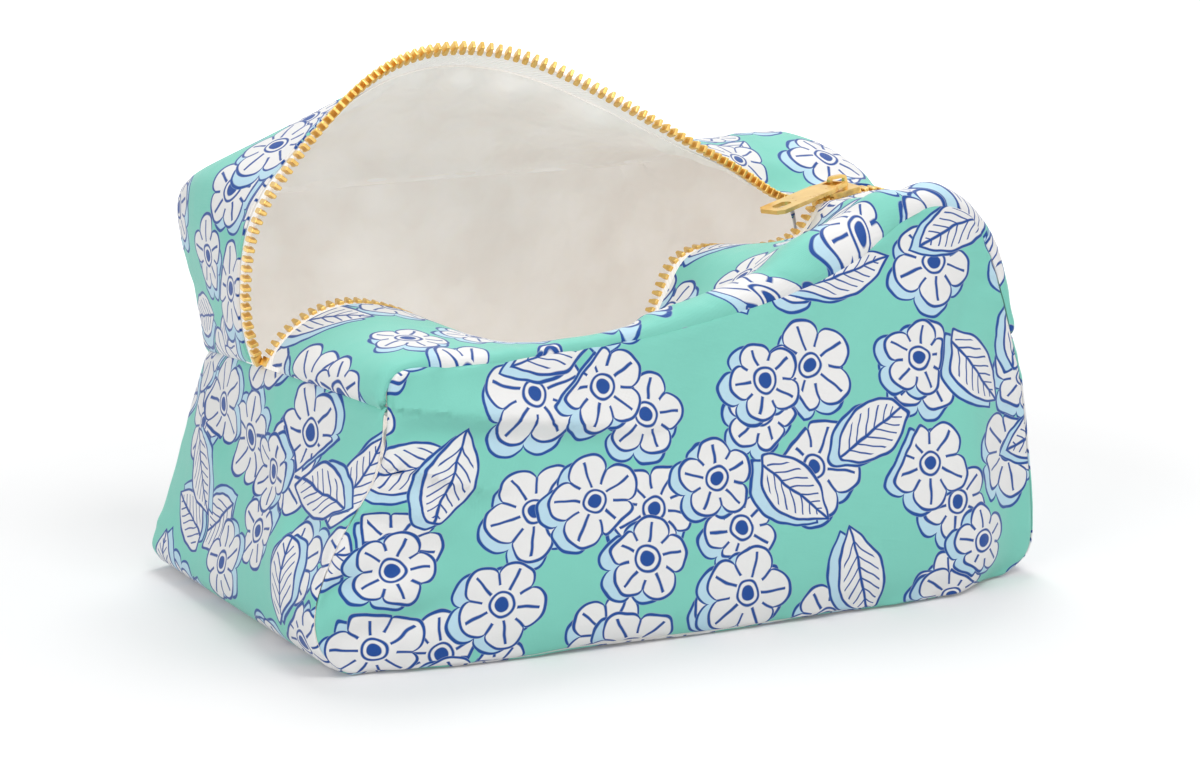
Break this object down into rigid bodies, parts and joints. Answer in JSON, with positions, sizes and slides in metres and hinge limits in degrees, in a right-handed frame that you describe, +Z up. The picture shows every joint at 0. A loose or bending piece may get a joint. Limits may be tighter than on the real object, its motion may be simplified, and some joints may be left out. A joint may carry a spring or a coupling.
{
  "type": "zip pouch",
  "caption": "Padded fabric box pouch, standing with its zip top open, with a metal slider and puller, a satin lining and a gusset round both ends and the base.",
  "frame": {"origin": "on the floor, under the middle of the bag's bounding box", "axes": "+X along the zip from the collapsed end to the slider's end, +Y from the front wall to the back wall, +Z up"},
  "size_m": [0.2669, 0.1748, 0.1812],
  "materials": {
    "printed_cloth": "smooth printed polyester with a soft sheen",
    "wadding": "soft white wadding",
    "satin_lining": "white satin",
    "zip_tape": "white woven polyester tape",
    "brass": "polished pale brass"
  },
  "bodies": {
    "bag": {"front_panel": "printed_cloth", "back_panel": "printed_cloth", "gusset": "printed_cloth", "front_padding": "wadding", "back_padding": "wadding", "gusset_padding": "wadding", "front_lining": "satin_lining", "back_lining": "satin_lining", "gusset_lining": "satin_lining", "top_stops": "brass", "bottom_stop": "brass"},
    "back_flap": {"top_back_panel": "printed_cloth", "top_back_lining": "satin_lining", "back_tape": "zip_tape", "back_teeth": "brass"},
    "front_flap": {"top_front_panel": "printed_cloth", "top_front_lining": "satin_lining", "front_tape": "zip_tape", "front_teeth": "brass"},
    "slider": {"slider_body": "brass"},
    "puller": {"puller": "brass"}
  },
  "joints": [
    {"name": "slider_slide", "type": "slide", "parent": "bag", "child": "slider", "axis": [-0.9947, 0, -0.1028], "range_m": [0, 0.194]},
    {"name": "back_flap_hinge", "type": "hinge", "parent": "bag", "child": "back_flap", "pos_m": [0, 0.07, 0.13], "axis": [1, 0, 0], "range_deg": [0, 56], "deforming": ["top_back_panel", "top_back_lining", "back_tape", "back_teeth"]},
    {"name": "front_flap_hinge", "type": "hinge", "parent": "bag", "child": "front_flap", "pos_m": [0, -0.07, 0.1], "axis": [1, 0, 0], "range_deg": [0, 58], "deforming": ["top_front_panel", "top_front_lining", "front_tape", "front_teeth"]},
    {"name": "puller_hinge", "type": "hinge", "parent": "slider", "child": "puller", "pos_m": [0.09554, 0, 0.12648], "axis": [-0.3565, 0.9336, -0.0368], "range_deg": [0, 150]}
  ],
  "couplings": [
    {"joint": "back_flap_hinge", "follows": "slider_slide", "rad_per_m": 5.0291},
    {"joint": "front_flap_hinge", "follows": "slider_slide", "rad_per_m": 5.209}
  ]
}
